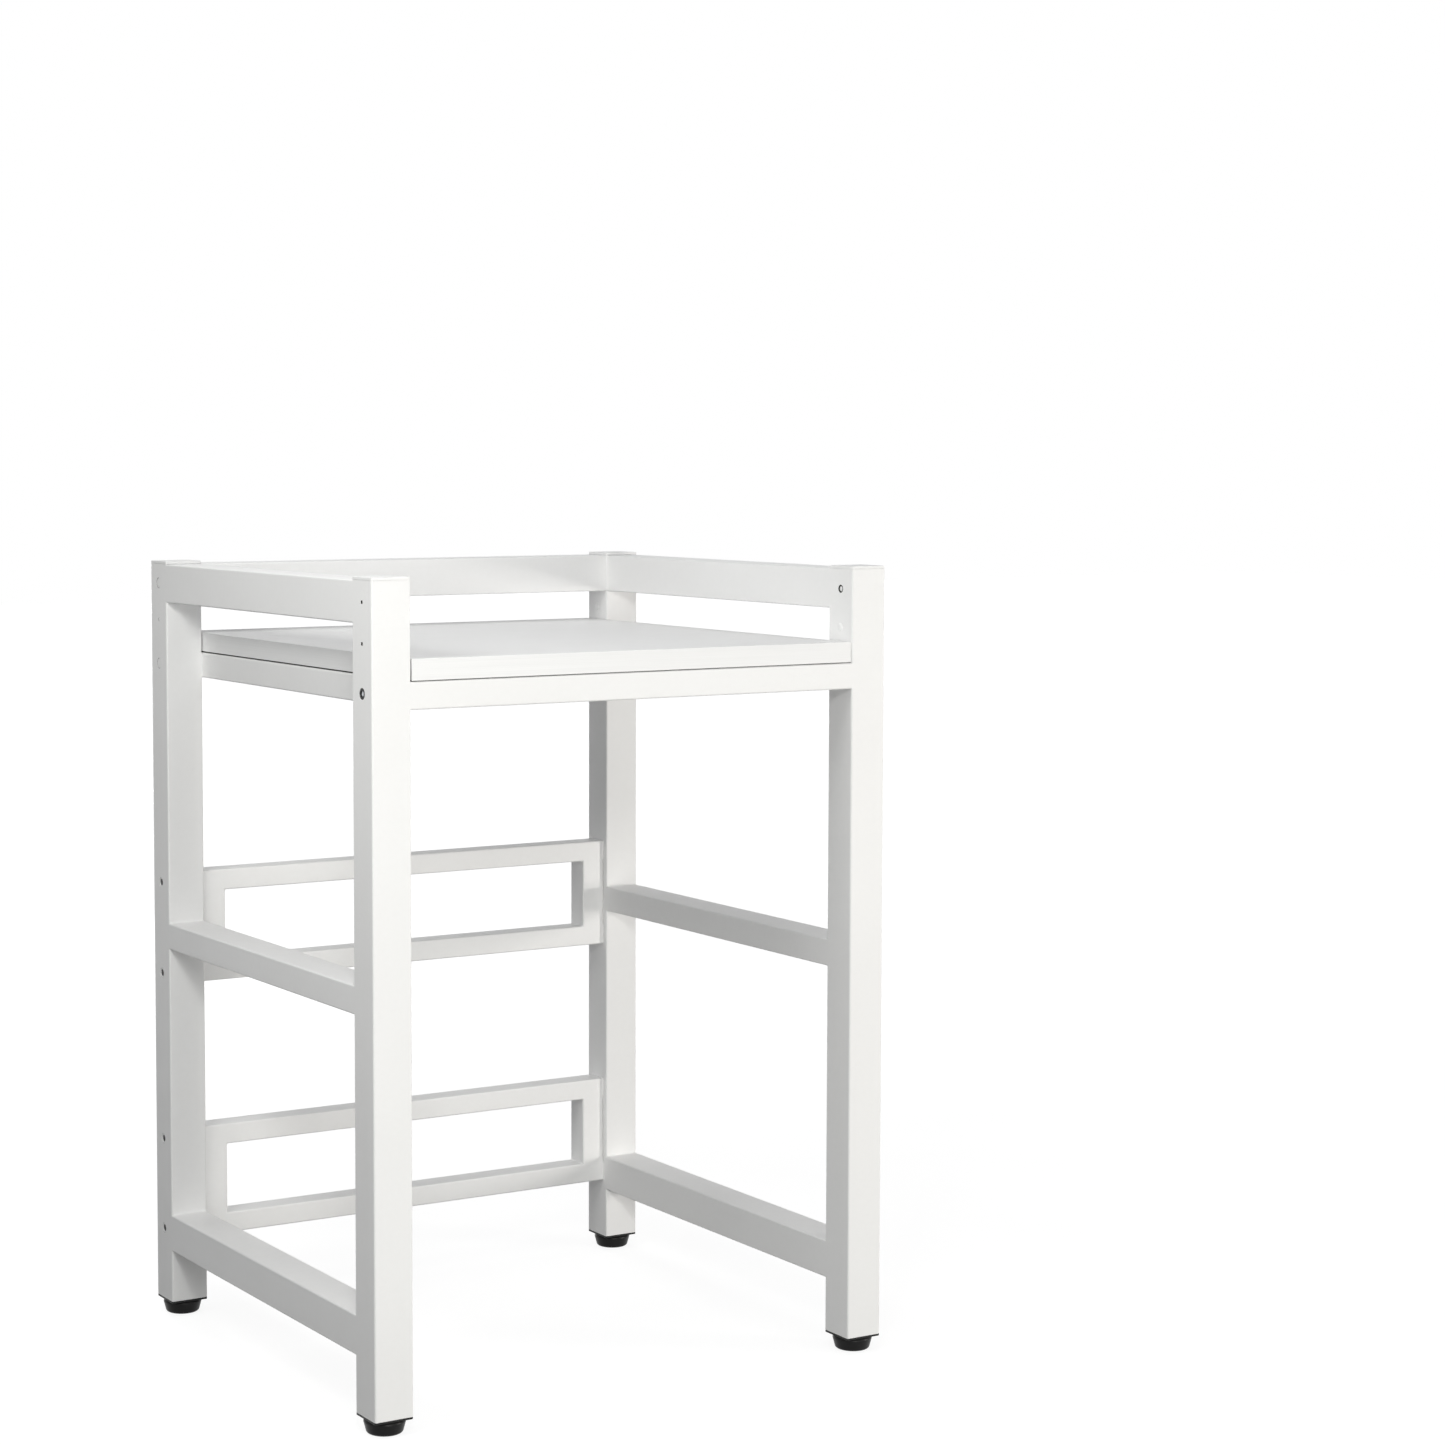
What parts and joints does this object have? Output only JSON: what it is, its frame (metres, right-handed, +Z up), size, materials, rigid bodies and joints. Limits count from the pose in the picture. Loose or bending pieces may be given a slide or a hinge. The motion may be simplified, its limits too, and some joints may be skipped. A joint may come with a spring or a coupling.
{
  "type": "washing machine pedestal",
  "caption": "Tall steel stand that holds one household machine on a board shelf with guard rails above another on the floor, on levelling feet.",
  "frame": {"origin": "on the floor, under the middle of the frame", "axes": "+Z up, -Y towards the open front, +X to the right seen from the front"},
  "size_m": [0.79, 0.705, 1.0976],
  "materials": {
    "white_powder_coat": "satin white powder coat on steel tube",
    "white_laminate": "white laminated chipboard with matching edging",
    "white_plastic": "white moulded plastic",
    "black_plastic": "black moulded plastic",
    "black_rubber": "black hard rubber, slightly glossy",
    "zinc_steel": "zinc plated steel"
  },
  "bodies": {
    "frame": {"leg_front_left": "white_powder_coat", "leg_cap_front_left": "white_plastic", "hole_plug_front_left": "white_plastic", "foot_insert_front_left": "black_plastic", "leg_rear_left": "white_powder_coat", "leg_cap_rear_left": "white_plastic", "hole_plug_rear_left": "white_plastic", "foot_insert_rear_left": "black_plastic", "leg_front_right": "white_powder_coat", "leg_cap_front_right": "white_plastic", "hole_plug_front_right": "white_plastic", "foot_insert_front_right": "black_plastic", "leg_rear_right": "white_powder_coat", "leg_cap_rear_right": "white_plastic", "hole_plug_rear_right": "white_plastic", "foot_insert_rear_right": "black_plastic", "guard_rail_left": "white_powder_coat", "middle_rail_left": "white_powder_coat", "bottom_rail_left": "white_powder_coat", "guard_rail_right": "white_powder_coat", "middle_rail_right": "white_powder_coat", "bottom_rail_right": "white_powder_coat", "guard_rail_rear": "white_powder_coat", "shelf_rail_front": "white_powder_coat", "shelf_rail_rear": "white_powder_coat", "shelf_rail_left": "white_powder_coat", "shelf_rail_right": "white_powder_coat", "shelf_cross_bar": "white_powder_coat", "shelf_board": "white_laminate", "upper_panel_rail_top": "white_powder_coat", "upper_panel_rail_bottom": "white_powder_coat", "upper_panel_upright_left": "white_powder_coat", "upper_panel_upright_right": "white_powder_coat", "lower_panel_rail_top": "white_powder_coat", "lower_panel_rail_bottom": "white_powder_coat", "lower_panel_upright_left": "white_powder_coat", "lower_panel_upright_right": "white_powder_coat", "bolt_shelf_front_left": "zinc_steel", "bolt_shelf_rear_left": "zinc_steel", "bolt_guard_rear_left": "zinc_steel", "bolt_upper_panel_top_rear_left": "zinc_steel", "bolt_upper_panel_bottom_rear_left": "zinc_steel", "bolt_lower_panel_top_rear_left": "zinc_steel", "bolt_lower_panel_bottom_rear_left": "zinc_steel", "bolt_shelf_front_right": "zinc_steel", "bolt_shelf_rear_right": "zinc_steel", "bolt_guard_rear_right": "zinc_steel", "bolt_upper_panel_top_rear_right": "zinc_steel", "bolt_upper_panel_bottom_rear_right": "zinc_steel", "bolt_lower_panel_top_rear_right": "zinc_steel", "bolt_lower_panel_bottom_rear_right": "zinc_steel"},
    "pad_front_left": {"foot_pad_front_left": "black_rubber"},
    "stud_front_left": {"foot_stud_front_left": "zinc_steel"},
    "pad_rear_left": {"foot_pad_rear_left": "black_rubber"},
    "stud_rear_left": {"foot_stud_rear_left": "zinc_steel"},
    "pad_front_right": {"foot_pad_front_right": "black_rubber"},
    "stud_front_right": {"foot_stud_front_right": "zinc_steel"},
    "pad_rear_right": {"foot_pad_rear_right": "black_rubber"},
    "stud_rear_right": {"foot_stud_rear_right": "zinc_steel"}
  },
  "joints": [
    {"name": "foot_height_front_left", "type": "slide", "parent": "frame", "child": "pad_front_left", "axis": [0, 0, -1], "range_m": [0, 0.014]},
    {"name": "foot_screw_front_left", "type": "hinge", "parent": "pad_front_left", "child": "stud_front_left", "pos_m": [-0.3675, -0.325, 0.02], "axis": [0, 0, -1], "range_deg": [0, 2880]},
    {"name": "foot_height_rear_left", "type": "slide", "parent": "frame", "child": "pad_rear_left", "axis": [0, 0, -1], "range_m": [0, 0.014]},
    {"name": "foot_screw_rear_left", "type": "hinge", "parent": "pad_rear_left", "child": "stud_rear_left", "pos_m": [-0.3675, 0.325, 0.02], "axis": [0, 0, -1], "range_deg": [0, 2880]},
    {"name": "foot_height_front_right", "type": "slide", "parent": "frame", "child": "pad_front_right", "axis": [0, 0, -1], "range_m": [0, 0.014]},
    {"name": "foot_screw_front_right", "type": "hinge", "parent": "pad_front_right", "child": "stud_front_right", "pos_m": [0.3675, -0.325, 0.02], "axis": [0, 0, -1], "range_deg": [0, 2880]},
    {"name": "foot_height_rear_right", "type": "slide", "parent": "frame", "child": "pad_rear_right", "axis": [0, 0, -1], "range_m": [0, 0.014]},
    {"name": "foot_screw_rear_right", "type": "hinge", "parent": "pad_rear_right", "child": "stud_rear_right", "pos_m": [0.3675, 0.325, 0.02], "axis": [0, 0, -1], "range_deg": [0, 2880]}
  ],
  "couplings": [
    {"joint": "foot_screw_front_left", "follows": "foot_height_front_left", "rad_per_m": 3590.4},
    {"joint": "foot_screw_rear_left", "follows": "foot_height_rear_left", "rad_per_m": 3590.4},
    {"joint": "foot_screw_front_right", "follows": "foot_height_front_right", "rad_per_m": 3590.4},
    {"joint": "foot_screw_rear_right", "follows": "foot_height_rear_right", "rad_per_m": 3590.4}
  ]
}
